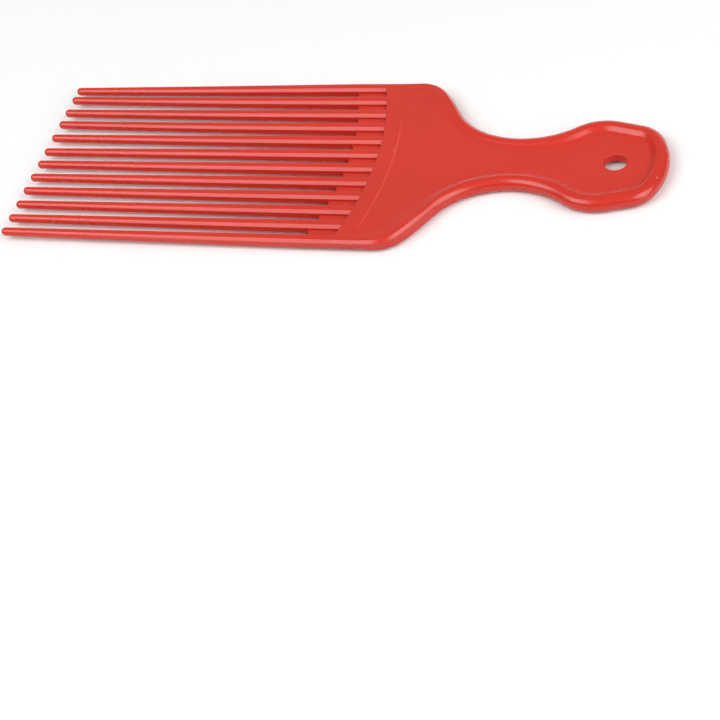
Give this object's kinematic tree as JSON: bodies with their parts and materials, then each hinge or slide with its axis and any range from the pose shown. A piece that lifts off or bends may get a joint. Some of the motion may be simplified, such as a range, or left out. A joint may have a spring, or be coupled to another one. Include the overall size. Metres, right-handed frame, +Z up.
{
  "type": "afro pick",
  "caption": "Moulded plastic hair pick: a flat comb back with long tapering teeth and a waisted paddle handle with a rounded rim and a hanging hole.",
  "frame": {"origin": "middle of the pick's length and width, on the plane that its rim lies on", "axes": "+X from the tooth tips to the end of the handle, +Y across the teeth towards the first tooth, +Z up, square to the flat faces"},
  "size_m": [0.199, 0.0732, 0.005],
  "materials": {
    "red_plastic": "satin"
  },
  "bodies": {
    "root": {"tooth_01": "red_plastic", "tooth_02": "red_plastic", "tooth_03": "red_plastic", "tooth_04": "red_plastic", "tooth_05": "red_plastic", "tooth_06": "red_plastic", "tooth_07": "red_plastic", "tooth_08": "red_plastic", "tooth_09": "red_plastic", "tooth_10": "red_plastic", "tooth_11": "red_plastic", "tooth_12": "red_plastic", "root_webs": "red_plastic", "comb_back": "red_plastic", "neck_panel": "red_plastic", "grip_panel": "red_plastic", "left_rim": "red_plastic", "right_rim": "red_plastic", "grip_rim": "red_plastic"}
  },
  "joints": []
}
